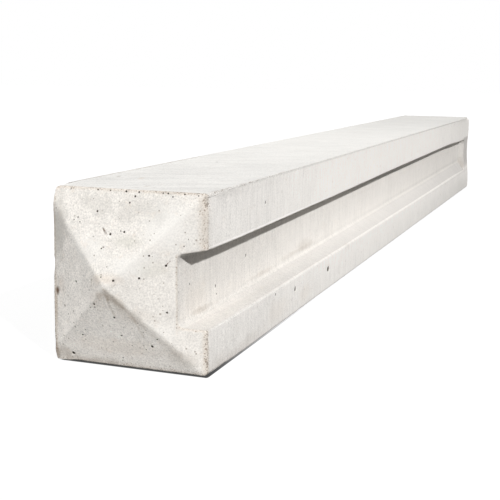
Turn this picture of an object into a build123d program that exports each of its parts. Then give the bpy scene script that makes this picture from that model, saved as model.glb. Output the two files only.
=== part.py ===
"""Fence end post of cast concrete, lying on its side.

The post is one casting. A slot for the end of a fence panel runs down one face. It opens through the
weathered top end and stops short of the foot. The top end is weathered four ways to a blunt peak, with
the same slope on all four sides.

The post lies along Y with its top end towards -Y, its slotted face towards +X and Z up. The origin is
under the middle of the post, on the surface that it lies on. All sizes are in millimetres.
"""

import os

from build123d import *

# Outside of the post
post_width = 118.0  # from the plain back to the slotted face
post_height = 125.0  # across the slotted face
post_length = 1220.0  # from the peak to the foot
arris_radius = 3.0  # rounding of the four long edges
foot_edge_radius = 4.5  # rounding round the foot

# Weathered top end
weathering_rise = 28.0  # from the foot of the slopes to the peak
peak_setback = 5.5  # the peak stands this far back from the middle, away from the slot
ridge_radius = 3.0  # rounding of the four ridges at the foot of the slopes
peak_width = 4.0  # blunt flat of the peak
peak_corner_radius = 1.5  # rounding of the ridges where they reach the peak
peak_edge_radius = 1.0  # rounding round the flat of the peak
shoulder_radius = 1.5  # rounding where the weathering meets the sides

# Slot at the shoulders
top_lower_flange = 32.0  # concrete left below the mouth
top_mouth = 55.5  # width of the mouth
top_depth = 20.0  # from the face to the floor of the slot
top_lower_lean = 2.5  # how far the lower wall leans in from mouth to floor
top_upper_lean = 4.0  # how far the upper wall leans in from mouth to floor

# Slot at the stop, where the tapered former leaves it shallower, with a narrower floor
stop_lower_flange = 34.5
stop_mouth = 57.0
stop_depth = 13.0
stop_lower_lean = 16.0
stop_upper_lean = 4.0

# How the slot is finished
stop_thickness = 44.0  # full section left between the slot and the foot
stop_lean = 20.0  # degrees that the stop's wall leans out from the floor to the face
stop_corner_radius = 8.0  # corners of the stop, seen from the face
slot_cove_radius = 4.0  # cove all round the floor of the slot
mouth_edge_radius = 1.5  # rounding along the mouth

# Places that follow from the sizes
foot_y = post_length / 2
peak_y = -post_length / 2
shoulder_y = peak_y + weathering_rise
stop_y = foot_y - stop_thickness
face_x = post_width / 2
middle_z = post_height / 2
slope_run = max(face_x + peak_setback, middle_z)  # from under the peak to the foot of the slopes
back_start = weathering_rise * (1 - (face_x - peak_setback) / slope_run)  # where the slope meets the back
former_overrun = 12.0  # how far the former stands out of the mouth and beyond both ends


def tapered(at_top, at_stop, y):
    """A size of the slot at y, changing evenly from the shoulders to the stop."""
    share = (y - shoulder_y) / (stop_y - shoulder_y)
    return at_top + (at_stop - at_top) * share


def former_section(y):
    """Section of the slot former at y: a trapezium, wider at the mouth, that overruns the face."""
    lower_z = tapered(top_lower_flange, stop_lower_flange, y)
    upper_z = lower_z + tapered(top_mouth, stop_mouth, y)
    depth = tapered(top_depth, stop_depth, y)
    lower_lean = tapered(top_lower_lean, stop_lower_lean, y)
    upper_lean = tapered(top_upper_lean, stop_upper_lean, y)
    overrun_share = former_overrun / depth
    with BuildSketch(Plane(origin=(0, y, 0), x_dir=(1, 0, 0), z_dir=(0, -1, 0))) as section:
        with BuildLine():
            Polyline(
                (face_x - depth, lower_z + lower_lean),
                (face_x + former_overrun, lower_z - lower_lean * overrun_share),
                (face_x + former_overrun, upper_z + upper_lean * overrun_share),
                (face_x - depth, upper_z - upper_lean),
                close=True,
            )
        make_face()
    return section.sketch


# The slot former is the tapered bar that the concrete is cast round.
with BuildPart() as slot_former:
    loft(sections=[former_section(peak_y - former_overrun), former_section(foot_y)], ruled=True)
    # The stop's wall leans out from the floor to the face.
    stop_plane = Plane(origin=(face_x, stop_y, 0), z_dir=Vector(0, 1, 0).rotate(Axis.Z, stop_lean))
    split(bisect_by=stop_plane, keep=Keep.BOTTOM)
    stop_wall = slot_former.faces().sort_by(Axis.Y)[-1]
    stop_corners = stop_wall.edges().sort_by(Axis.Z)
    fillet([stop_corners[0], stop_corners[-1]], radius=stop_corner_radius)
    slot_floor = slot_former.faces().sort_by(Axis.X)[0]
    fillet(slot_floor.edges().filter_by(lambda edge: edge.center().Y > peak_y), radius=slot_cove_radius)

# The weathering is a hollow in the end of the mould with four like slopes. It is wider than the post
# on the plain back, so that slope meets the back further up than the others meet their sides.
shoulder_plane = Plane(origin=(0, shoulder_y, middle_z), x_dir=(1, 0, 0), z_dir=(0, -1, 0))
with BuildPart() as mould_end:
    with BuildSketch(shoulder_plane) as slope_foot:
        with Locations((-peak_setback, 0)):
            RectangleRounded(2 * slope_run, 2 * slope_run, ridge_radius)
    with BuildSketch(shoulder_plane.offset(weathering_rise)) as peak:
        with Locations((-peak_setback, 0)):
            RectangleRounded(peak_width, peak_width, peak_corner_radius)
    loft(sections=[slope_foot.sketch, peak.sketch], ruled=True)

# The casting: the shaft, its weathered top and the slot
with BuildPart() as end_post:
    with BuildSketch(shoulder_plane):
        RectangleRounded(post_width, post_height, arris_radius)
    extrude(amount=weathering_rise)
    add(mould_end.part, mode=Mode.INTERSECT)
    with BuildSketch(shoulder_plane):
        RectangleRounded(post_width, post_height, arris_radius)
    extrude(amount=-(foot_y - shoulder_y))
    ends = end_post.faces().filter_by(Plane.XZ).sort_by(Axis.Y)
    fillet(ends[0].edges(), radius=peak_edge_radius)
    fillet(ends[-1].edges(), radius=foot_edge_radius)
    at_shoulder = (shoulder_y - back_start - shoulder_radius, shoulder_y + shoulder_radius)
    fillet(end_post.edges().filter_by_position(Axis.Y, *at_shoulder), radius=shoulder_radius)
    add(slot_former.part, mode=Mode.SUBTRACT)
    # The mouth's edges are those of the slotted face that lie inside its outline.
    slotted_face = end_post.faces().filter_by(Plane.YZ).sort_by(Axis.X)[-1]
    inside_length = (shoulder_y + 2 * shoulder_radius, foot_y - 2 * foot_edge_radius)
    inside_height = (2 * arris_radius, post_height - 2 * arris_radius)
    mouth_edges = slotted_face.edges().filter_by_position(Axis.Y, *inside_length)
    fillet(mouth_edges.filter_by_position(Axis.Z, *inside_height), radius=mouth_edge_radius)

end_post.part.label = "end_post"

os.makedirs("parts", exist_ok=True)
export_step(end_post.part, "parts/end_post.step")
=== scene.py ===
"""Fence end post of cast concrete: its worn surface, its stage and its camera.

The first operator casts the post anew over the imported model, with the waviness, chipped arrises
and air holes of a real casting, and gives it its concrete. The second sets the stage. Places and
sizes are in metres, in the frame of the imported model: the top end points towards -Y, the slot
faces +X and Z is up. Tables of places and everything in the material are in millimetres.
"""

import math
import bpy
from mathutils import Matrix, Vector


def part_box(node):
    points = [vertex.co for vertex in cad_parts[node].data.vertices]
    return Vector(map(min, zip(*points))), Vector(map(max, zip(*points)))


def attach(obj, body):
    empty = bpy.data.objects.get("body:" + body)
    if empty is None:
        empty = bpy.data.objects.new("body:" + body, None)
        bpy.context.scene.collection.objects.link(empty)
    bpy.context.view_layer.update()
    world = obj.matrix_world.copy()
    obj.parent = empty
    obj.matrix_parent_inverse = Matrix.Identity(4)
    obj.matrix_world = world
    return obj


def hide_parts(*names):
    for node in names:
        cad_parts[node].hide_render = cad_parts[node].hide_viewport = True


bl_info = {
    "name": "Fence end post",
    "version": (1, 0, 0),
    "blender": (4, 5, 0),
    "location": "View3D > Sidebar > Fence post",
    "description": "Casts a worn concrete fence end post and sets its stage",
    "category": "Object",
}

from typing import NamedTuple

import bmesh
import bpy
from bpy.props import FloatProperty, FloatVectorProperty, IntProperty, PointerProperty
from bpy.types import Operator, Panel, PropertyGroup
from mathutils import Vector, noise
from mathutils.kdtree import KDTree

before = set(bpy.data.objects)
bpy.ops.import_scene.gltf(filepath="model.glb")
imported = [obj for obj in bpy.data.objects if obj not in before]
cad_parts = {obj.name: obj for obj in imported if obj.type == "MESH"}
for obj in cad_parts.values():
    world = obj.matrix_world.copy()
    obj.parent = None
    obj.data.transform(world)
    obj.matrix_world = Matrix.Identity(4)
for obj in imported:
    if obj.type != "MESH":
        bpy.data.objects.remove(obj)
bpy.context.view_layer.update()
LOW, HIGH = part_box("end_post")

MM = 0.001
WELD = 0.002 * MM
FLAT_ANGLE = math.radians(0.1)  # faces that meet at less than this are one flat face

# Places on the post
WEATHERING_RISE = 28 * MM
PEAK = Vector((-5.5 * MM, LOW.y, HIGH.z / 2))
SLOPE = WEATHERING_RISE / (HIGH.x - PEAK.x)
SHOULDER_Y = LOW.y + WEATHERING_RISE

# How finely each stretch of the post is divided, from the peak to the foot
END_GRAIN = 1.0 * MM
NEAR_GRAIN = 2.0 * MM
NEAR_STRETCH = 176 * MM
FAR_GRAIN = 5.0 * MM
FAR_LENGTH = 9.0 * MM
HOLE_REACH = 1.8  # how far the mesh is finer round an air hole, in radii of the hole
PEAK_REACH = 6 * MM  # how far from the peak the weathering is rounded more

# Chips and crumbs along the arrises
CHIP_START = 0.12  # where the noise is lower than this, nothing has chipped off
CHIP_GAIN = 1.5
CRUMB_FINENESS = 3.3  # how many times smaller than chips the crumbs are
CRUMB_DEPTH = 0.35
SAND_SPREAD = 1.35  # above 1, the sand shows at its full strength some way from the arris too
CHIPPED_SAND = 0.3  # how much more sand a chip shows

# How the faces wander: waves and lumps to the metre, and the share of the depth that each takes
WAVES, WAVE_SHARE = 14, 0.7
LUMPS, LUMP_SHARE = 70, 0.6

# How the slot changes from its top end to its foot, in millimetres for each one of length
FLOOR_DRIFT = 0.0061  # how far the floor comes out towards the face
COVE_RISE = 0.0139  # how far the lower cove rises
LIP_RISE = 0.0034  # how far the lip of the mouth rises
STOP_SLANT = 0.36  # how far the stop's wall leans along the post for each millimetre of depth

# The floor
FLOOR_GLOW = 1.08
SHADOW_SHARE = 0.15  # how much of the post's shadow it keeps
LIT_GREY = 0.9
# The grey of the painted contact shadow
CONTACT_SHADOW_GREY = 0.02

# The painted contact shadow under the post, a dark line on the floor
CONTACT_INSET = 1.9 * MM  # how far inside the slotted face the rounded arris leaves the floor
CONTACT_BESIDE = 1.5 * MM  # its width along the slotted side
CONTACT_BEFORE = 3.4 * MM  # its width in front of the weathered end
CONTACT_SHARE = 0.95

# The camera: its place, its turn in degrees, and its lens and sensor in millimetres
CAMERA_PLACE = (0.30606, -1.16617, 0.20563)
CAMERA_TURN = (79.4696, -0.4781, 20.6233)
LENS = 70.134
SENSOR_WIDTH = 36


class Arris(NamedTuple):
    """An edge that has lost some of its sharpness, in millimetres."""

    start: tuple
    end: tuple
    reach: float  # how far from the edge the wear reaches
    chip_depth: float
    chip_length: float
    sand: float  # how much sandy grain shows, from 0 to 1


ARRISES = (
    # The weathered end
    Arris((-57, -583, 125), (20, -583, 125), 3.0, 0.9, 7, 0.75),
    Arris((20, -583, 125), (58, -582, 125), 3.2, 1.2, 6, 0.8),
    Arris((59, -582, 124), (59, -582, 88), 10.5, 1.5, 6, 0.78),
    Arris((59, -582, 32), (59, -582, 1), 6.0, 1.4, 6, 0.9),
    Arris((39, -590.7, 84), (39, -590.7, 36), 1.8, 0.7, 6, 0.6),
    Arris((39, -590.8, 34.5), (59, -582, 32), 3.0, 0.8, 6, 0.7),
    Arris((39, -590.6, 84), (59, -582, 87.5), 2.5, 0.6, 6, 0.3),
    Arris((59, -582, 0.5), (-59, -584, 0.5), 5.0, 0.7, 9, 0.6),
    Arris((-59, -586.5, 62), (-59, -586.5, 2), 6.0, 0.5, 8, 1.0),
    Arris((-59, -586.5, 122), (-59, -586.5, 62), 4.5, 1.0, 8, 0.7),
    # The long arrises
    Arris((59, -582, 125), (59, -425, 125), 4.0, 1.2, 9, 0.9),
    Arris((59, -425, 125), (59, 606, 125), 3.5, 0.6, 12, 0.8),
    Arris((59, -582, 0), (59, 606, 0), 3.5, 0.9, 12, 0.6),
    Arris((-59, -585, 125), (-59, 606, 125), 3.0, 0.4, 14, 0.5),
    Arris((-59, -585, 0), (-59, 606, 0), 3.5, 0.9, 12, 0.6),
    # The mouth of the slot
    Arris((59, -582, 87.5), (59, 560, 91.5), 2.5, 0.3, 8, 0.2),
    Arris((59, -582, 32), (59, 560, 34.5), 2.5, 0.6, 10, 0.3),
    Arris((59, 566, 36), (59, 566, 90), 3.0, 1.0, 10, 0.4),
    # The foot
    Arris((-57, 609, 123), (57, 609, 123), 4.0, 0.7, 11, 0.4),
    Arris((57, 609, 123), (57, 609, 2), 5.0, 1.2, 11, 0.4),
    Arris((57, 609, 2), (-57, 609, 2), 5.0, 1.5, 11, 0.7),
    Arris((-57, 609, 2), (-57, 609, 123), 5.0, 1.5, 11, 0.7),
)

# Air holes: place in millimetres, radius and depth
AIR_HOLES = (
    ((-21.0, -589.6, 110.0), 0.8, 1.0),
    ((5.4, -584.7, 121.0), 0.8, 1.0),
    ((2.2, -586.6, 116.7), 0.7, 0.8),
    ((-2.0, -583.4, 123.9), 0.8, 0.9),
    ((41.2, -583.3, 124.1), 0.7, 0.7),
    ((-45.2, -583.6, 123.6), 0.5, 0.5),
    ((-23.6, -583.4, 124.0), 0.6, 0.6),
    ((-13.9, -583.5, 124.0), 0.6, 0.6),
    ((7.7, -583.5, 123.8), 0.7, 0.7),
    ((25.6, -583.5, 124.0), 0.6, 0.6),
    ((29.3, -583.4, 124.0), 0.7, 0.7),
    ((33.0, -584.4, 122.0), 0.5, 0.5),
    ((52.4, -583.8, 123.6), 0.7, 0.7),
    ((54.8, -584.0, 123.0), 0.6, 0.6),
    ((-34.9, -591.7, 105.3), 0.6, 0.7),
    ((-37.7, -592.5, 103.5), 0.5, 0.5),
    ((-32.8, -593.0, 102.5), 0.5, 0.5),
    ((-7.9, -595.9, 96.0), 0.9, 0.9),
    ((2.2, -595.0, 97.9), 0.8, 0.8),
    ((-0.5, -594.8, 98.4), 0.5, 0.5),
    ((-12.6, -600.1, 86.5), 0.6, 0.7),
    ((-10.9, -599.7, 87.5), 0.4, 0.5),
    ((-28.6, -600.3, 85.3), 0.5, 0.5),
    ((-8.9, -608.1, 68.8), 0.5, 0.5),
    ((22.3, -598.5, 83.7), 0.7, 0.9),
    ((16.1, -601.2, 68.5), 0.8, 1.0),
    ((0.5, -608.2, 66.9), 0.9, 1.1),
    ((32.4, -593.9, 76.9), 0.8, 1.0),
    ((32.8, -593.7, 44.9), 0.7, 1.0),
    ((43.3, -589.0, 90.0), 0.5, 0.5),
    ((46.3, -587.7, 94.7), 0.4, 0.4),
    ((-33.9, -598.2, 61.6), 0.8, 1.0),
    ((-3.4, -600.6, 39.5), 0.9, 1.1),
    ((-36.8, -595.7, 28.6), 0.7, 0.8),
    ((-28.9, -595.0, 27.1), 0.5, 0.7),
    ((-32.6, -593.0, 22.6), 0.8, 1.0),
    ((-44.7, -585.6, 6.0), 1.4, 1.2),
    ((-1.7, -594.3, 25.5), 0.8, 1.0),
    ((20.4, -591.6, 19.4), 1.1, 1.0),
    ((25.5, -594.4, 25.6), 0.7, 0.8),
    ((15.1, -590.2, 16.3), 0.5, 0.6),
    ((4.9, -591.1, 18.3), 0.5, 0.6),
    ((-4.8, -586.1, 7.2), 0.5, 0.6),
    ((-16.3, -604.7, 48.6), 0.8, 0.7),
    ((-16.5, -603.6, 46.2), 0.6, 0.7),
    ((-19.7, -603.5, 45.9), 0.5, 0.5),
    ((39.4, -524.3, 49.5), 1.2, 1.2),
    ((39.4, -522.4, 43.1), 0.8, 0.8),
    ((39.1, -570.0, 60.4), 0.7, 0.6),
    ((39.7, -463.1, 61.6), 1.3, 1.0),
    ((59.0, -472.7, 105.7), 1.3, 1.0),
    ((59.0, -446.3, 28.1), 1.2, 0.9),
    ((59.0, -395.5, 22.0), 2.2, 1.4),
    ((59.0, -293.7, 20.2), 2.9, 1.6),
    ((-24.0, -371.0, 125.0), 1.6, 1.0),
    ((-59.0, -300.0, 84.0), 2.0, 1.3),
    ((-59.0, -118.0, 41.0), 1.7, 1.2),
    ((-59.0, 92.0, 97.0), 2.4, 1.4),
    ((-59.0, 265.0, 58.0), 1.8, 1.2),
    ((-59.0, 402.0, 30.0), 2.2, 1.3),
    ((-59.0, -455.0, 33.0), 1.8, 1.2),
)


class Blotch(NamedTuple):
    """A stain or a pale patch, in millimetres."""

    place: tuple
    size: tuple  # half its size along each axis
    colour: tuple
    strength: float


# Stains and pale patches
GREY_DAMP = (0.50, 0.48, 0.44)
GREEN_DAMP = (0.56, 0.55, 0.47)
RUST_BROWN = (0.36, 0.22, 0.12)
UMBER = (0.14, 0.09, 0.06)
EARTH = (0.30, 0.23, 0.16)
BEIGE = (0.74, 0.62, 0.50)
# The next colour is lime bloom, and also the pale of painted highlights on a ridge of the end and
# along its struck-off arris
LIME_AND_HIGHLIGHT = (0.93, 0.91, 0.87)

# The skin of the slotted side, made paler or darker as painted light and shade, and what shows in and
# under the skin
FLANGE_SKIN_PAINTED_LIGHT = (0.93, 0.90, 0.86)
SLOT_SKIN_PAINTED_LIGHT = (0.88, 0.845, 0.805)
SLOT_WALL_SKIN_PAINTED_SHADE = (0.70, 0.675, 0.645)
STOP_SKIN_PAINTED_SHADE = (0.61, 0.59, 0.56)
WARM_IRON = (0.70, 0.56, 0.44)
PINHOLE = (0.22, 0.17, 0.13)
CRUMB = (0.26, 0.17, 0.10)
EDGE_DIRT = (0.20, 0.15, 0.11)
# Painted shade inside the air holes
HOLE_PAINTED_SHADE = (0.05, 0.04, 0.03)

BLOTCHES = (
    # Pale patches: the first two are a painted highlight along the ridge from the peak to the slotted
    # corner, the other two lime bloom
    Blotch((32, -596, 103), (26, 30, 22), LIME_AND_HIGHLIGHT, 0.55),
    Blotch((10, -603, 78), (20, 20, 9), LIME_AND_HIGHLIGHT, 0.50),
    Blotch((-22, -599, 86), (15, 20, 13), LIME_AND_HIGHLIGHT, 0.40),
    Blotch((30, -594, 30), (14, 20, 9), LIME_AND_HIGHLIGHT, 0.25),
    # Grey, damp patches
    Blotch((-20, -590, 116), (16, 12, 9), GREY_DAMP, 0.30),
    Blotch((9, -588, 112), (24, 12, 12), GREY_DAMP, 0.32),
    Blotch((6, -597, 92), (15, 14, 6), GREEN_DAMP, 0.35),
    Blotch((25, -596, 74), (12, 16, 8), GREEN_DAMP, 0.25),
    Blotch((-51, -592, 100), (9, 20, 30), GREY_DAMP, 0.62),
    Blotch((-30, -599, 80), (12, 14, 8), GREY_DAMP, 0.12),
    # Brown stains
    Blotch((-54.2, -589, 51.6), (2.6, 6, 4.2), UMBER, 1.0),
    Blotch((-10.8, -608, 56), (3.2, 5, 3.2), EARTH, 0.28),
    Blotch((-56, -588, 42), (2.4, 5, 18), RUST_BROWN, 0.30),
    Blotch((-58, -586, 6), (3, 6, 10), UMBER, 0.5),
    Blotch((-56.5, -588, 88), (2.2, 5, 26), EARTH, 0.25),
    Blotch((-11, -605, 52), (9, 9, 10), RUST_BROWN, 0.10),
    Blotch((12, -601, 42), (18, 9, 7), RUST_BROWN, 0.09),
    Blotch((2, -605, 50), (5, 9, 10), EARTH, 0.14),
    Blotch((44, -588, 12), (14, 9, 7), EARTH, 0.18),
    Blotch((-30, -584, 3), (34, 6, 4), EARTH, 0.18),
    # A warm tint low on the lower slope, painted light that stands for light bounced up from the
    # floor
    Blotch((-8, -590, 16), (44, 14, 9), BEIGE, 0.16),
    Blotch((-52, -586, 7), (7, 8, 7), EARTH, 0.30),
    Blotch((-6, -607, 67), (12, 6, 5), BEIGE, 0.35),
    Blotch((39, -560, 50), (4, 26, 16), BEIGE, 0.12),
    Blotch((-50, -590, 57), (7, 6, 9), RUST_BROWN, 0.10),
    Blotch((39.2, -550, 38), (3, 16, 3), EARTH, 0.25),
    Blotch((40.2, -427, 40.5), (3, 30, 2.6), RUST_BROWN, 0.13),
    Blotch((40.2, -320, 46), (3, 24, 6), EARTH, 0.20),
    Blotch((40.2, -330, 43), (3, 60, 3), EARTH, 0.20),
    # Painted shade on the stop at the end of the slot, which faces the lamps
    Blotch((50, 566, 45), (9, 14, 14), EARTH, 0.25),
    # Dirt low down on the slotted side, and a few spots on the open face
    Blotch((59, -562, 3), (5, 30, 9), EARTH, 0.22),
    Blotch((59, -505, 4), (5, 42, 8), EARTH, 0.14),
    Blotch((59, -440, 13), (5, 32, 12), BEIGE, 0.14),
    Blotch((59, -368, 12), (5, 26, 10), BEIGE, 0.14),
    Blotch((59, -222, 30), (5, 10, 6), EARTH, 0.12),
    Blotch((2, -560, 125), (2, 5, 2), EARTH, 0.35),
    Blotch((-24, -517, 125), (2, 7, 2), BEIGE, 0.45),
    Blotch((-45.6, -512, 125), (1.5, 4, 2), EARTH, 0.45),
)


class Streak(NamedTuple):
    """A scratch or a thin run of dirt between two places, in millimetres."""

    start: tuple
    end: tuple
    width: float
    colour: tuple
    strength: float


STREAKS = (
    # Scratches
    Streak((-14.4, -594.6, 98.9), (-10.8, -595.8, 96.1), 1.0, UMBER, 1.0),
    Streak((32.4, -593.9, 76.9), (35.2, -592.7, 79.8), 0.6, UMBER, 1.0),
    Streak((9.0, -597.4, 92.5), (14.1, -598.0, 91.2), 0.9, GREY_DAMP, 0.7),
    Streak((43.0, -589.2, 89.8), (46.0, -587.8, 90.8), 0.6, EARTH, 0.45),
    Streak((-0.7, -608.7, 61.9), (2.4, -607.4, 64.5), 0.6, EARTH, 0.45),
    Streak((-16.6, -605.9, 66.1), (-17.6, -605.5, 59.8), 0.8, EARTH, 0.45),
    Streak((-5.0, -569.8, 125.0), (0.0, -568.5, 125.0), 0.8, UMBER, 0.5),
    # Dirt that ran down from the peak
    Streak((-5.7, -609.5, 60.0), (-4.3, -606.8, 53.5), 1.6, EARTH, 0.42),
    Streak((-4.3, -606.8, 53.5), (-2.6, -601.4, 41.0), 1.4, EARTH, 0.36),
    Streak((-4.5, -608.4, 57.5), (6.0, -605.2, 48.8), 3.8, EARTH, 0.40),
    Streak((6.0, -605.2, 48.8), (12.0, -600.9, 39.0), 2.4, EARTH, 0.30),
    Streak((12.0, -600.9, 39.0), (15.9, -594.9, 26.9), 1.5, EARTH, 0.30),
    Streak((-6.5, -608.6, 58.2), (39.0, -590.0, 14.6), 4.6, EARTH, 0.24),
    # Lime and a painted highlight along the struck-off arris above the weathering, and dirt along the
    # back one
    Streak((-56.0, -577.0, 125.0), (56.0, -576.0, 125.0), 6.5, LIME_AND_HIGHLIGHT, 0.6),
    Streak((-59.0, -584.0, 125.0), (-59.0, -330.0, 125.0), 4.0, EARTH, 0.45),
)


class PostSettings(PropertyGroup):
    """What a user would change on the casting."""

    cement: FloatVectorProperty(
        name="Cement",
        description="Colour of the moulded faces",
        subtype="COLOR",
        size=3,
        default=(0.83, 0.795, 0.745),
    )
    trowelled: FloatVectorProperty(
        name="Trowelled face",
        description="Colour of the face that was left open in the mould and trowelled",
        subtype="COLOR",
        size=3,
        default=(0.83, 0.815, 0.785),
    )
    sand: FloatVectorProperty(
        name="Sand",
        description="Colour of the grain where the skin is worn off the arrises",
        subtype="COLOR",
        size=3,
        default=(0.50, 0.37, 0.25),
    )
    sway_depth: FloatProperty(
        name="Sway",
        description="How far the faces wander in from flat",
        default=0.4 * MM,
        unit="LENGTH",
    )
    seed: IntProperty(
        name="Seed",
        description="Another number gives other chips and lumps",
        default=7,
    )


class StageSettings(PropertyGroup):
    """What a user would change on the stage."""

    floor_width: FloatProperty(
        name="Floor width",
        description="Side of the square floor",
        default=16.0,
        unit="LENGTH",
    )
    floor_bounce: FloatProperty(
        name="Floor bounce",
        description="Share of the light that the floor throws back up at the post",
        default=0.20,
    )
    key_level: FloatProperty(
        name="Key lamp",
        description="Strength of the hard lamp from the right",
        default=1290.0,
    )
    fill_level: FloatProperty(
        name="Fill lamp",
        description="Strength of the soft lamp that lights the end",
        default=92.0,
    )
    back_level: FloatProperty(
        name="Back lamp",
        description="Strength of the soft lamp on the plain side",
        default=26.0,
    )
    overhead_level: FloatProperty(
        name="Overhead lamp",
        description="Strength of the soft lamp above",
        default=16.0,
    )
    rear_level: FloatProperty(
        name="Rear lamp",
        description="Strength of the soft lamp behind and above",
        default=37.0,
    )
    sky_level: FloatProperty(
        name="Surroundings",
        description="Strength of the light from all round",
        default=0.01,
    )


class Wire:
    """One output in a material's nodes. Python's operators on it add Math nodes."""

    def __init__(self, recipe, socket):
        self.recipe = recipe
        self.socket = socket

    def math(self, operation, first, second):
        return self.recipe.node("ShaderNodeMath", {"operation": operation}, {0: first, 1: second})

    def __add__(self, other):
        return self.math("ADD", self, other)

    __radd__ = __add__

    def __sub__(self, other):
        return self.math("SUBTRACT", self, other)

    def __rsub__(self, other):
        return self.math("SUBTRACT", other, self)

    def __mul__(self, other):
        return self.math("MULTIPLY", self, other)

    __rmul__ = __mul__

    def __neg__(self):
        return self.math("MULTIPLY", self, -1.0)

    def __abs__(self):
        return self.math("ABSOLUTE", self, 0.0)

    def larger(self, other):
        return self.math("MAXIMUM", self, other)

    def ramp(self, low, high):
        """Goes smoothly from 0 where this is low to 1 where it is high."""
        return self.recipe.node(
            "ShaderNodeMapRange",
            {"interpolation_type": "SMOOTHSTEP"},
            {"Value": self, "From Min": low, "From Max": high},
        )

    def falling(self, low, high):
        """Goes smoothly from 1 where this is low to 0 where it is high."""
        return 1.0 - self.ramp(low, high)


class Recipe:
    """The nodes of one material, or of the surroundings."""

    def __init__(self, holder):
        holder.use_nodes = True
        self.tree = holder.node_tree
        self.tree.nodes.clear()

    def node(self, kind, settings=None, inputs=None, out=0):
        """Adds a node: its settings are made first, then its sockets are set or linked."""
        node = self.tree.nodes.new(kind)
        for name, value in (settings or {}).items():
            setattr(node, name, value)
        for name, value in (inputs or {}).items():
            if isinstance(value, Wire):
                self.tree.links.new(value.socket, node.inputs[name])
            else:
                node.inputs[name].default_value = value
        return Wire(self, node.outputs[out]) if node.outputs else None

    def vector(self, operation, first, second=(0, 0, 0), out=0):
        """A sum on places, directions or colours."""
        settings = {"operation": operation}
        return self.node("ShaderNodeVectorMath", settings, {0: first, 1: second}, out=out)

    def scaled(self, vector, factor):
        """A direction or a colour times one number."""
        inputs = {0: vector, "Scale": factor}
        return self.node("ShaderNodeVectorMath", {"operation": "SCALE"}, inputs)

    def axis(self, place, name):
        """One coordinate of a place."""
        return self.node("ShaderNodeSeparateXYZ", {}, {0: place}, out=name)

    def attribute(self, name):
        """What the mesh stores under a name at each of its corners."""
        return self.node("ShaderNodeAttribute", {"attribute_name": name}, out="Fac")

    def mix(self, share, first, second):
        """Goes from the first colour to the second as share goes from 0 to 1."""
        return self.node(
            "ShaderNodeMix",
            {"data_type": "RGBA"},
            {0: share, 6: as_colour(first), 7: as_colour(second)},
            out=2,
        )

    def clouds(self, place, size, detail=2.0, roughness=0.5):
        """Noise from 0 to 1, mostly near 0.5, with lumps of that size."""
        return self.node(
            "ShaderNodeTexNoise",
            {},
            {"Vector": place, "Scale": 1 / size, "Detail": detail, "Roughness": roughness},
        )

    def stretched(self, place, scale):
        """The place with each axis scaled, which draws a pattern out along the small ones."""
        return self.vector("MULTIPLY", place, scale)

    def pinholes(self, place, spacing, radius, share):
        """1 in small round spots, up to that radius, in that share of the cells of a loose grid."""
        settings = {"feature": "F1"}
        inputs = {"Vector": place, "Scale": 1 / spacing}
        distance = self.node("ShaderNodeTexVoronoi", settings, inputs, out="Distance")
        pick = self.node("ShaderNodeTexVoronoi", settings, inputs, out="Color")
        chosen = self.node("ShaderNodeSeparateColor", {}, {0: pick}, out="Red")
        girth = self.node("ShaderNodeSeparateColor", {}, {0: pick}, out="Green")
        in_cells = radius / spacing
        spot = distance - girth * in_cells
        inside = spot.falling(-0.1 * in_cells, 0.25 * in_cells)
        return inside * chosen.ramp(1 - share, 1.001 - share)

    def blotch(self, place, warp, blotch):
        """Full in the middle of a blotch, falling to 0 past its ragged rim."""
        offset = self.vector("SUBTRACT", place, blotch.place)
        in_sizes = self.stretched(offset, tuple(1 / half for half in blotch.size))
        length = self.vector("LENGTH", in_sizes, out="Value")
        return (length + warp).falling(0.25, 1.15) * blotch.strength

    def streak(self, place, streak):
        """Full along the middle of a streak, falling to 0 at its sides and past its ends."""
        along = Vector(streak.end) - Vector(streak.start)
        offset = self.vector("SUBTRACT", place, streak.start)
        share = self.vector("DOT_PRODUCT", offset, tuple(along / along.length_squared), out="Value")
        held = self.node("ShaderNodeClamp", {}, {"Value": share})
        nearest = self.scaled(tuple(along), held)
        length = self.vector("LENGTH", self.vector("SUBTRACT", offset, nearest), out="Value")
        return length.falling(0.2 * streak.width, streak.width) * streak.strength


def as_colour(value):
    """A colour as a Mix node takes it: a wire, or red, green, blue and full alpha."""
    if isinstance(value, Wire):
        return value
    return (*value[:3], 1.0)


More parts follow.
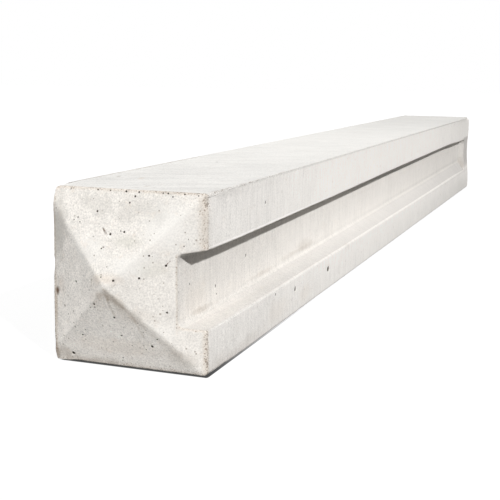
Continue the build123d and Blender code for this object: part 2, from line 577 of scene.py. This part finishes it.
class Zones:
    """Masks, from 0 to 1, for the zones of the casting. Places are in millimetres."""

    def __init__(self, recipe, place):
        x, y, z = (recipe.axis(place, name) for name in "XYZ")
        self.x, self.y, self.z = x, y, z

        # The weathered end and the three of its slopes that are shaded by themselves
        sideways = abs(x - PEAK.x / MM)
        upright = abs(z - PEAK.z / MM)
        above_slope = abs(y - LOW.y / MM - sideways.larger(upright) * SLOPE)
        end = above_slope.falling(2.0, 4.0) * (-y).ramp(578.0, 582.0)
        self.end = end
        self.beyond_ridge = sideways - upright  # below 0 on the upper and the lower slope
        self.before_ridge = upright - sideways
        self.right_slope = end * self.beyond_ridge.ramp(-1.0, 1.0) * x.ramp(-6.0, -5.0)
        self.left_slope = end * self.beyond_ridge.ramp(-1.0, 1.0) * x.falling(-6.0, -5.0)
        self.lower_slope = end * self.before_ridge.ramp(-1.0, 1.0) * z.falling(60.0, 62.0)

        # The sides of the shaft
        side = 1.0 - end
        shaft = side * y.falling(603.0, 607.0)
        self.trowelled = z.ramp(122.5, 124.0) * side
        self.slotted_side = x.ramp(30.0, 36.0) * shaft * z.falling(122.5, 124.0)
        self.back = x.falling(-58.5, -56.0) * shaft
        self.halfway = y.ramp(-560.0, -250.0) * y.falling(100.0, 600.0) * side

        # The slot: its lower wall starts further out as the slot gets shallower
        across_slot = x.falling(56.0, 57.5) * x.ramp(33.0, 38.0)
        slot = across_slot * z.ramp(28.0, 33.0) * z.falling(89.0, 93.0) * shaft
        from_floor = x - y * FLOOR_DRIFT
        above_cove = z - y * COVE_RISE
        self.slot = slot
        self.slot_wall = slot * from_floor.ramp(43.0, 45.5) * z.falling(54.0, 62.0)
        self.slot_stop = slot * (y + x * STOP_SLANT).ramp(574.0, 577.0)
        # The slot's lower cove, which is given painted shade
        self.slot_cove_shade = slot * from_floor.falling(43.5, 46.5) * above_cove.falling(44.0, 49.0)

        # The edges of the mouth, for painted shade on the lower one and a painted highlight on the
        # lip of the upper one at its near end
        self.mouth_edge_shade = self.slotted_side * abs(z - 33.5).falling(1.5, 3.5) * x.ramp(55.5, 57.0)
        on_lip = abs(z - y * LIP_RISE - 90.1).falling(0.5, 1.3) * x.ramp(56.0, 58.0)
        self.lip = self.slotted_side * on_lip * y.falling(-460.0, -250.0)


class Noises:
    """Noises of several sizes, from 0 to 1 and mostly near 0.5."""

    def __init__(self, recipe, place):
        self.broad = recipe.clouds(place, 55.0)
        self.drift = recipe.clouds(place, 17.0)
        self.mottle = recipe.clouds(place, 5.5, roughness=0.6)
        self.grain = recipe.clouds(place, 1.15, detail=1.5, roughness=0.65)
        self.ragged = recipe.clouds(place, 2.6, roughness=0.7)
        self.gritty = recipe.clouds(place, 1.1, detail=1.0)
        # Drawn out across the post, aslant like the sweeps of a trowel, and a little along it
        drawn = recipe.stretched(place, (0.3, 1.0, 0.16))
        self.across = recipe.clouds(drawn, 3.5, detail=3.0, roughness=0.65)
        turn = {"Vector": place, "Rotation": (0, 0, math.radians(-25))}
        swept = recipe.stretched(recipe.node("ShaderNodeMapping", {}, turn), (0.2, 1.0, 1.0))
        self.swept = recipe.clouds(swept, 13.0, detail=4.0, roughness=0.65)
        drawn = recipe.stretched(place, (1.0, 0.7, 1.0))
        self.warm = recipe.clouds(drawn, 9.0, detail=3.0, roughness=0.7)


def skin_of(recipe, settings, zones):
    """The colour of each zone's skin, with painted light and shade on the slotted side, before any
    noise or dirt.
    """
    skin = recipe.mix(zones.trowelled, settings.cement, settings.trowelled)
    # Painted light: the flange and the slot are paler copies of the cement. Painted shade: the slot's
    # lower wall, beyond its top end, and its stop are darker ones.
    skin = recipe.mix(zones.slotted_side * (1.0 - zones.slot) * 0.9, skin, FLANGE_SKIN_PAINTED_LIGHT)
    skin = recipe.mix(zones.slot * 0.5, skin, SLOT_SKIN_PAINTED_LIGHT)
    on_wall = zones.slot_wall * (0.1 + zones.y.ramp(-560.0, -400.0) * 0.85)
    skin = recipe.mix(on_wall, skin, SLOT_WALL_SKIN_PAINTED_SHADE)
    return recipe.mix(zones.slot_stop * 0.75, skin, STOP_SKIN_PAINTED_SHADE)


def clouded(zones, noises):
    """How much paler, or below 0 darker, the noises make a place."""
    end, back = zones.end, zones.back
    clear = 1.0 - zones.y.ramp(-560.0, 50.0) * 0.7
    shade = (noises.broad - 0.5) * (0.10 + end * 0.06 + back * 0.18)
    shade = shade + (noises.drift - 0.5) * (0.06 + end * 0.16 + back * 0.12)
    shade = shade + (noises.mottle - 0.5) * (0.08 + end * 0.12)
    other_slopes = zones.left_slope + zones.lower_slope
    grain_depth = 0.62 + end * 0.26 - zones.right_slope * 0.15 + other_slopes * 0.15
    shade = shade + (noises.grain - 0.5) * grain_depth * clear
    # Streaks run across the slotted side, and the trowel has swept the open face.
    streaked = zones.slotted_side + back * 0.8 - zones.slot_wall * 0.6
    shade = shade + (noises.across - 0.5) * streaked * (0.16 + clear * 0.24)
    return shade + (noises.swept - 0.5) * zones.trowelled * (clear * 0.42 - 0.05)


def shaded(shade, zones):
    """The shade with what each zone adds to it, or takes away, most of it painted light and shade."""
    x, y, z = zones.x, zones.y, zones.z
    end, slot, slotted_side = zones.end, zones.slot, zones.slotted_side
    # A painted highlight makes the ridge from the peak to the slotted corner paler. Painted shade
    # darkens the right slope, and painted light makes its lowest part paler.
    ridge = abs(zones.beyond_ridge).falling(1.0, 9.0) * x.ramp(0.0, 22.0) * z.ramp(64.0, 80.0) * end
    shade = shade + ridge * 0.035 + zones.right_slope * (z.falling(20.0, 55.0) * 0.08 - 0.045)
    # Painted light makes the lower slope paler, most towards the ground, and the left one paler along
    # its ridge.
    shade = shade + zones.lower_slope * (0.03 + z.falling(12.0, 42.0) * 0.06)
    along_ridge = 0.05 + zones.beyond_ridge.falling(0.0, 16.0) * 0.06
    shade = shade + zones.left_slope * z.falling(48.0, 62.0) * along_ridge
    # Painted shade darkens the lower slope just under its ridge with the left one, so that the ridge
    # shows.
    under_ridge = x.falling(-14.0, -7.0) * zones.before_ridge.falling(0.0, 14.0)
    shade = shade - zones.lower_slope * under_ridge * 0.035
    # The left slope is greyer along its outer edge, and painted shade darkens the slot's lower cove.
    shade = shade - x.falling(-59.0, -46.0) * end * 0.05 - zones.slot_cove_shade * 0.11
    # Painted shade darkens the lower edge of the mouth, and a painted highlight makes the near end of
    # the lip paler.
    shade = shade - zones.mouth_edge_shade * 0.07 + zones.lip * 0.20
    # The slotted side is darker low down, more so towards the foot. Painted shadow darkens the slot
    # under its upper lip, inside the lamp's shadow and fading out towards the foot, and the slot is
    # darker far down its length.
    low_down = z.falling(3.0, 40.0) * (0.06 + y.ramp(-400.0, 300.0) * 0.05)
    shade = shade - slotted_side * (1.0 - slot) * low_down
    painted_shadow_under_lip = z.ramp(75.5, 80.0) * y.falling(20.0, 380.0)
    painted_shadow_under_lip = painted_shadow_under_lip * (0.17 + y.ramp(-450.0, -250.0) * 0.07)
    shade = shade - slot * (painted_shadow_under_lip + y.ramp(-150.0, 300.0) * 0.06)
    # The middle of the length is paler than its ends.
    shade = shade + zones.halfway * (0.05 + slotted_side * 0.07)
    return shade - zones.trowelled * y.ramp(-150.0, 420.0) * 0.15


def stained(recipe, colour, place, noises):
    """The colour with the stains, pale patches, scratches and runs of dirt on it, and the painted
    highlights, shade and bounced light among them.
    """
    warp = (noises.drift - 0.5) * 0.9 + (noises.mottle - 0.5) * 0.7
    for blotch in BLOTCHES:
        colour = recipe.mix(recipe.blotch(place, warp, blotch), colour, blotch.colour)
    inputs = {"Vector": place, "Scale": 1 / 9.0, "Detail": 2.0}
    bend = recipe.node("ShaderNodeTexNoise", {}, inputs, out="Color")
    bend = recipe.stretched(recipe.vector("SUBTRACT", bend, (0.5, 0.5, 0.5)), (4, 4, 4))
    wavy = recipe.vector("ADD", place, bend)
    broken = 0.45 + noises.mottle.ramp(0.38, 0.60) * 0.55
    for streak in STREAKS:
        colour = recipe.mix(recipe.streak(wavy, streak) * broken, colour, streak.colour)
    return colour


def concrete(settings):
    """Cast concrete: pale cement clouds, sandy grain, pinholes, stains and worn arrises."""
    material = bpy.data.materials.new("cast_concrete")
    recipe = Recipe(material)
    coords = recipe.node("ShaderNodeTexCoord", out="Object")
    place = recipe.stretched(coords, (1 / MM, 1 / MM, 1 / MM))
    hollow, worn = recipe.attribute("hollow"), recipe.attribute("worn")
    zones, noises = Zones(recipe, place), Noises(recipe, place)
    end = zones.end

    # The skin, cloudy from the mould, with painted light and shade by zone, and what has run or
    # settled on it
    brightness = 1.0 + shaded(clouded(zones, noises), zones)
    colour = recipe.scaled(skin_of(recipe, settings, zones), brightness)
    colour = stained(recipe, colour, place, noises)

    # Warm iron specks and fine dark pinholes
    colour = recipe.mix(noises.warm.ramp(0.55, 0.78) * (0.10 + end * 0.12), colour, WARM_IRON)
    specks = recipe.pinholes(place, spacing=2.8, radius=0.60, share=0.40)
    freckles = recipe.pinholes(place, spacing=7.5, radius=1.15, share=0.24)
    dark = (specks * 0.60).larger(freckles * 0.62) * (0.30 + end * 0.70)
    colour = recipe.mix(dark, colour, PINHOLE)

    # Bare sand and crumbs where the skin has gone from the arrises, with dirt on the edge itself
    ragged, gritty = noises.ragged - 0.5, noises.gritty - 0.5
    bare = (worn + ragged * 0.8).ramp(0.10, 0.90) * worn.ramp(0.0, 0.15) * (0.3 + end * 0.7)
    colour = recipe.mix(bare * 0.26, colour, settings.sand)
    crumb = recipe.pinholes(place, spacing=1.4, radius=0.50, share=0.75)
    crumb = crumb * worn.ramp(0.05, 0.7) * (0.25 + end * 0.45)
    colour = recipe.mix(crumb, colour, CRUMB)
    edge_dirt = (worn + gritty * 1.6 + ragged * 0.9).ramp(0.90, 1.12)
    colour = recipe.mix(edge_dirt * 0.65, colour, EDGE_DIRT)
    # Painted shade darkens the inside of each air hole.
    colour = recipe.mix(hollow.ramp(0.10, 0.60), colour, HOLE_PAINTED_SHADE)

    height = (noises.grain - 0.5) * 0.25 + (noises.mottle - 0.5) * 0.6 - dark * 0.8 - bare * 0.3
    height = height + (noises.across - 0.5) * zones.slotted_side * 0.3
    bump = recipe.node(
        "ShaderNodeBump",
        {},
        {"Strength": 0.35, "Distance": 0.5 * MM, "Height": height},
        out="Normal",
    )
    surface = recipe.node(
        "ShaderNodeBsdfPrincipled",
        {},
        {"Base Color": colour, "Roughness": 0.9, "Normal": bump, "Specular IOR Level": 0.3},
    )
    recipe.node("ShaderNodeOutputMaterial", {}, {"Surface": surface})
    return material


def merged_copy(node):
    """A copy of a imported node's mesh, its loose triangles joined and its flat faces whole again."""
    bm = bmesh.new()
    bm.from_mesh(node.data)
    bmesh.ops.remove_doubles(bm, verts=bm.verts, dist=WELD)
    bmesh.ops.dissolve_limit(
        bm,
        angle_limit=FLAT_ANGLE,
        use_dissolve_boundaries=False,
        verts=bm.verts,
        edges=bm.edges,
        delimit=set(),
    )
    return bm


def cut_at(bm, faces, axis, places):
    """Cuts faces across an axis at each place, the middle one first, and returns the faces."""
    if not places or not faces:
        return faces
    normal = Vector((0, 0, 0))
    normal[axis] = 1
    middle = len(places) // 2
    edges = list({edge for face in faces for edge in face.edges})
    corners = list({corner for face in faces for corner in face.verts})
    cut = bmesh.ops.bisect_plane(
        bm,
        geom=corners + edges + faces,
        dist=WELD,
        plane_co=normal * places[middle],
        plane_no=normal,
    )
    before, beyond = [], []
    for piece in cut["geom"]:
        if isinstance(piece, bmesh.types.BMFace):
            side = before if piece.calc_center_median()[axis] < places[middle] else beyond
            side.append(piece)
    before = cut_at(bm, before, axis, places[:middle])
    return before + cut_at(bm, beyond, axis, places[middle + 1:])


def even_places(first, last, spacing):
    """Places between two ends, at equal distances close to that spacing."""
    stretches = round((last - first) / spacing)
    return [first + (last - first) * count / stretches for count in range(1, stretches)]


def divide(bm):
    """Divides the casting finely at the weathered end and coarsely towards the foot."""
    end_y = SHOULDER_Y + 2 * MM
    near_y = SHOULDER_Y + NEAR_STRETCH
    faces = cut_at(bm, bm.faces[:], 1, [end_y, near_y])
    for first, last, grain, length in (
        (near_y, HIGH.y, FAR_GRAIN, FAR_LENGTH),
        (end_y, near_y, NEAR_GRAIN, NEAR_GRAIN),
        (LOW.y, end_y, END_GRAIN, None),
    ):
        part = [face for face in faces if first - WELD < face.calc_center_median().y < last + WELD]
        if length:
            part = cut_at(bm, part, 1, even_places(first, last, length))
        part = cut_at(bm, part, 0, even_places(LOW.x, HIGH.x, grain))
        cut_at(bm, part, 2, even_places(LOW.z, HIGH.z, grain))


def corner_tree(bm):
    """A tree for finding the mesh's corners by place."""
    bm.verts.ensure_lookup_table()
    bm.verts.index_update()
    tree = KDTree(len(bm.verts))
    for corner in bm.verts:
        tree.insert(corner.co, corner.index)
    tree.balance()
    return tree


def refine_at_holes(bm):
    """Divides the mesh twice more round each air hole.

    The first time it reaches further round the holes of the far stretch, whose faces are coarse.
    """
    for far_reach in (FAR_GRAIN, 0):
        tree = corner_tree(bm)
        edges = set()
        for place, radius, _depth in AIR_HOLES:
            far = Vector(place).y * MM > SHOULDER_Y + NEAR_STRETCH
            reach = radius * HOLE_REACH * MM + (far_reach if far else 0)
            for _co, index, _distance in tree.find_range(Vector(place) * MM, reach):
                edges.update(bm.verts[index].link_edges)
        bmesh.ops.subdivide_edges(bm, edges=list(edges), cuts=1, use_grid_fill=True)


def smooth(bm, corners, rounds):
    """Moves each corner halfway to the middle of its neighbours, so many times."""
    for _ in range(rounds):
        bmesh.ops.smooth_vert(
            bm, verts=corners, factor=0.5, use_axis_x=True, use_axis_y=True, use_axis_z=True
        )


def soften(bm):
    """Rounds the ridges of the weathering a little, and the peak more."""
    end = [corner for corner in bm.verts if corner.co.y < SHOULDER_Y]
    smooth(bm, end, 2)
    peak = [corner for corner in end if (corner.co - PEAK).length < PEAK_REACH]
    smooth(bm, peak, 5)


def step(value, low, high):
    """Goes smoothly from 0 where the value is low to 1 where it is high."""
    share = min(max((value - low) / (high - low), 0), 1)
    return share * share * (3 - 2 * share)


def near_arris(sideways, upwards, reach):
    """1 close to an arris that lies along Y, falling to 0 at that reach from it."""
    return 1 - step(math.hypot(sideways, upwards), 1, reach)


def slack(co):
    """How far the casting departs from its true shape at a place, as it came from a slack mould."""
    x, y, z = co / MM
    # The strip between the slot and the foot lies behind the face, and the flange above leans in.
    strip = 3.6 * step(z, 12, 68) - 1.2 * step(z, 78, 100)
    leaning = strip * step(x, 50, 57) * step(y, 430, 575)
    # The lip of the mouth hangs a little at the top end, and more where it runs out at the stop.
    at_top = 0.9 * (1 - step(y, -330, 60))
    at_stop = 4.2 * step(y, 380, 560) * (1 - step(y, 566, 604))
    hanging = (at_top + at_stop) * step(x, 44, 57) * step(z, 77, 86) * (1 - step(z, 92, 106))
    # The upper corner on the left of the weathered end is drawn in.
    drawn = 1.5 * (1 - step(y, -580, -500)) * (1 - step(x, -59, -35)) * step(z, 30, 105)
    # The arrises of the open face were struck off sharp, but the slotted one is round at the foot.
    back = 1.4 * near_arris(x + 59, z - 125, 4.5) * step(y, -578, -560)
    sharpness = 1.1 * step(y, -575, -560) - 2.9 * step(y, 565, 600)
    front = sharpness * near_arris(x - 59, z - 125, 6.0)
    # At the weathered end the slotted arris is rubbed back, and the lower left corner is fuller.
    rubbed = 1.6 * step(x, 42, 59) * (1 - step(y, -590, -515))
    full = 1.6 * near_arris(x + 59, z, 14.0) * (1 - step(y, -575, -550))
    sideways = drawn - leaning - back + front - rubbed - full
    return Vector((sideways, 0, back + front - full - hanging)) * MM


def wear_arrises(bm, worn, seed):
    """Chips the arrises, and marks how much of its skin each corner of the mesh has lost there."""
    for number, arris in enumerate(ARRISES):
        start, end, reach = Vector(arris.start) * MM, Vector(arris.end) * MM, arris.reach * MM
        along = end - start
        lows = [min(pair) - reach for pair in zip(start, end)]
        highs = [max(pair) + reach for pair in zip(start, end)]
        shift = Vector((seed, number * 3.1, 0))
        for corner in bm.verts:
            x, y, z = corner.co
            if not (lows[1] < y < highs[1] and lows[0] < x < highs[0] and lows[2] < z < highs[2]):
                continue
            share = min(max((corner.co - start).dot(along) / along.length_squared, 0), 1)
            nearness = 1 - (corner.co - start - along * share).length / reach
            if nearness <= 0:
                continue
            place = corner.co / (arris.chip_length * MM)
            chips = max(0, noise.noise(place + shift) - CHIP_START) * CHIP_GAIN
            crumbs = max(0, noise.noise(place * CRUMB_FINENESS - shift)) * CRUMB_DEPTH
            corner.co -= corner.normal * (chips + crumbs) * arris.chip_depth * MM * nearness ** 2
            lost = arris.sand * min(nearness * SAND_SPREAD, 1) + CHIPPED_SAND * chips * nearness
            corner[worn] = max(corner[worn], lost)


def press_holes(bm, hollow):
    """Sinks the air holes and marks how deep each corner of the mesh lies in one."""
    tree = corner_tree(bm)
    for place, radius, depth in AIR_HOLES:
        for _co, index, distance in tree.find_range(Vector(place) * MM, radius * MM):
            corner = bm.verts[index]
            share = math.sqrt(1 - (distance / (radius * MM)) ** 2)
            corner[hollow] = max(corner[hollow], share)
            corner.co -= corner.normal * share * depth * MM


def cast(settings):
    """The post's mesh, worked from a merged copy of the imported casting."""
    bm = merged_copy(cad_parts["end_post"])
    divide(bm)
    refine_at_holes(bm)
    soften(bm)
    hollow = bm.verts.layers.float.new("hollow")
    worn = bm.verts.layers.float.new("worn")
    bm.normal_update()
    press_holes(bm, hollow)
    wear_arrises(bm, worn, settings.seed)
    shift = Vector((settings.seed, 0, 0))
    for corner in bm.verts:
        wave = 0.5 + 0.5 * noise.noise(corner.co * WAVES + shift)
        lump = 0.25 + 0.25 * noise.noise(corner.co * LUMPS - shift)
        sway = corner.normal * settings.sway_depth * (wave * WAVE_SHARE + lump * LUMP_SHARE)
        corner.co += slack(corner.co) - sway
        corner.co = [min(max(value, low), high) for value, low, high in zip(corner.co, LOW, HIGH)]
    mesh = bpy.data.meshes.new("worn_post")
    for face in bm.faces:
        face.smooth = True
    bm.to_mesh(mesh)
    bm.free()
    return mesh


class FENCEPOST_OT_cast_post(Operator):
    """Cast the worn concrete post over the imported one"""

    bl_idname = "fencepost.cast_post"
    bl_label = "Cast the post"

    def execute(self, context):
        settings = context.scene.fence_post
        post = bpy.data.objects.new("worn_post", cast(settings))
        context.scene.collection.objects.link(post)
        post.data.materials.append(concrete(settings))
        evened = post.modifiers.new("evened normals", "WEIGHTED_NORMAL")
        evened.keep_sharp = False
        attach(post, "root")
        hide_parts("end_post")
        return {"FINISHED"}


class FENCEPOST_OT_set_stage(Operator):
    """Lay the floor, hang the lamps and place the camera"""

    bl_idname = "fencepost.set_stage"
    bl_label = "Set the stage"

    def execute(self, context):
        settings = context.scene.fence_post_stage
        context.scene.view_settings.view_transform = "Standard"
        lay_floor(context, settings)
        light_surroundings(context, settings)
        hang_lamps(context, settings)
        place_camera(context)
        return {"FINISHED"}


def seen_directly(recipe):
    """1 for rays that see the floor or the surroundings themselves, straight or in a reflection."""
    straight = recipe.node("ShaderNodeLightPath", out="Is Camera Ray")
    mirrored = recipe.node("ShaderNodeLightPath", out="Is Glossy Ray")
    passed = recipe.node("ShaderNodeLightPath", out="Is Transmission Ray")
    return straight.larger(mirrored).larger(passed)


def matt(recipe, grey):
    """A matt surface of an even grey."""
    return recipe.node("ShaderNodeBsdfDiffuse", {}, {"Color": (grey, grey, grey, 1)})


def painted_contact_shadow(recipe, place):
    """A painted contact shadow: the dark line before the weathered end, which fades along the slotted
    side.
    """
    x, y = recipe.axis(place, "X"), recipe.axis(place, "Y")
    beside = (x - HIGH.x + CONTACT_INSET).larger(0.0) * (1 / CONTACT_BESIDE)
    before = (SHOULDER_Y - y).larger(0.0) * (1 / CONTACT_BEFORE)
    gap = recipe.node("ShaderNodeCombineXYZ", {}, {"X": beside, "Y": before})
    near = recipe.vector("LENGTH", gap, out="Value").falling(0.75, 1.1)
    line = near * (-y).ramp(0.32, 0.60) * CONTACT_SHARE
    return line * x.ramp(LOW.x + 1 * MM, LOW.x + 6 * MM)


def white_floor(settings):
    """Looks white and keeps the post's shadow, but throws little light back up at the post."""
    material = bpy.data.materials.new("white_floor")
    recipe = Recipe(material)
    place = recipe.node("ShaderNodeTexCoord", out="Object")
    # The shadow is kept round the post, and the floor is plain white from there to its far edge.
    round_post = recipe.vector("LENGTH", place, out="Value").falling(1.2, 2.4)
    glow = {"Color": (1, 1, 1, 1), "Strength": FLOOR_GLOW}
    white = recipe.node("ShaderNodeEmission", {}, glow)
    lit, dark = matt(recipe, LIT_GREY), matt(recipe, CONTACT_SHADOW_GREY)
    shadow, contact = round_post * SHADOW_SHARE, painted_contact_shadow(recipe, place)
    seen = recipe.node("ShaderNodeMixShader", {}, {0: shadow, 1: white, 2: lit})
    # The painted contact shadow darkens the floor in a thin line under the post.
    seen = recipe.node("ShaderNodeMixShader", {}, {0: contact, 1: seen, 2: dark})
    # The post itself sees a darker floor than the camera does.
    pale = matt(recipe, settings.floor_bounce)
    surface = recipe.node("ShaderNodeMixShader", {}, {0: seen_directly(recipe), 1: pale, 2: seen})
    recipe.node("ShaderNodeOutputMaterial", {}, {"Surface": surface})
    return material


def lay_floor(context, settings):
    """Lays a square floor under the post."""
    bm = bmesh.new()
    bmesh.ops.create_grid(bm, x_segments=1, y_segments=1, size=settings.floor_width / 2)
    mesh = bpy.data.meshes.new("floor")
    bm.to_mesh(mesh)
    bm.free()
    floor = bpy.data.objects.new("floor", mesh)
    context.scene.collection.objects.link(floor)
    floor.data.materials.append(white_floor(settings))


def background(recipe, strength):
    """White light of that strength from all round."""
    inputs = {"Color": (1, 1, 1, 1), "Strength": strength}
    return recipe.node("ShaderNodeBackground", {}, inputs)


def light_surroundings(context, settings):
    """A white background that lights the post only faintly."""
    world = bpy.data.worlds.new("surroundings")
    context.scene.world = world
    recipe = Recipe(world)
    dim, white = background(recipe, settings.sky_level), background(recipe, 1.0)
    surface = recipe.node("ShaderNodeMixShader", {}, {0: seen_directly(recipe), 1: dim, 2: white})
    recipe.node("ShaderNodeOutputWorld", {}, {"Surface": surface})


def hang_lamps(context, settings):
    """Hangs each round lamp in its direction from the place that it is aimed at."""
    end, middle = Vector((0, -0.6, 0.06)), Vector((0, -0.3, 0.06))
    for name, direction, distance, target, size, power in (
        ("key_lamp", (0.662, -0.546, 0.516), 12.0, middle, 0.52, settings.key_level),
        ("fill_lamp", (-0.6, -0.8, 0.03), 4.0, end, 1.6, settings.fill_level),
        ("back_lamp", (-0.95, -0.25, 0.15), 4.0, end, 1.6, settings.back_level),
        ("overhead_lamp", (0.6, -0.1, 0.87), 3.0, middle, 1.6, settings.overhead_level),
        ("rear_lamp", (-0.3, 0.5, 0.8), 3.0, middle, 1.6, settings.rear_level),
    ):
        lamp = bpy.data.lights.new(name, "AREA")
        lamp.shape = "DISK"
        lamp.size = size
        lamp.energy = power
        lamp_object = bpy.data.objects.new(name, lamp)
        towards = Vector(direction).normalized()
        lamp_object.location = target + towards * distance
        lamp_object.rotation_euler = towards.to_track_quat("Z", "Y").to_euler()
        context.scene.collection.objects.link(lamp_object)


def place_camera(context):
    """Places the camera that the post is seen through."""
    camera = bpy.data.cameras.new("camera")
    camera.lens = LENS
    camera.sensor_width = SENSOR_WIDTH
    camera_object = bpy.data.objects.new("camera", camera)
    camera_object.location = CAMERA_PLACE
    camera_object.rotation_euler = [math.radians(angle) for angle in CAMERA_TURN]
    context.scene.collection.objects.link(camera_object)
    context.scene.camera = camera_object


class FENCEPOST_PT_panel(Panel):
    """Settings and operators of the fence end post"""

    bl_label = "Fence end post"
    bl_idname = "FENCEPOST_PT_panel"
    bl_space_type = "VIEW_3D"
    bl_region_type = "UI"
    bl_category = "Fence post"

    def draw(self, context):
        for group in (context.scene.fence_post, context.scene.fence_post_stage):
            for name in group.bl_rna.properties.keys():
                if name not in ("rna_type", "name"):
                    self.layout.prop(group, name)
        self.layout.operator("fencepost.cast_post")
        self.layout.operator("fencepost.set_stage")


CLASSES = (
    PostSettings,
    StageSettings,
    FENCEPOST_OT_cast_post,
    FENCEPOST_OT_set_stage,
    FENCEPOST_PT_panel,
)


def register():
    for each in CLASSES:
        bpy.utils.register_class(each)
    bpy.types.Scene.fence_post = PointerProperty(type=PostSettings)
    bpy.types.Scene.fence_post_stage = PointerProperty(type=StageSettings)


def unregister():
    del bpy.types.Scene.fence_post_stage
    del bpy.types.Scene.fence_post
    for each in reversed(CLASSES):
        bpy.utils.unregister_class(each)


def main():
    register()
    bpy.ops.fencepost.cast_post()
    bpy.ops.fencepost.set_stage()


if __name__ == "__main__":
    main()
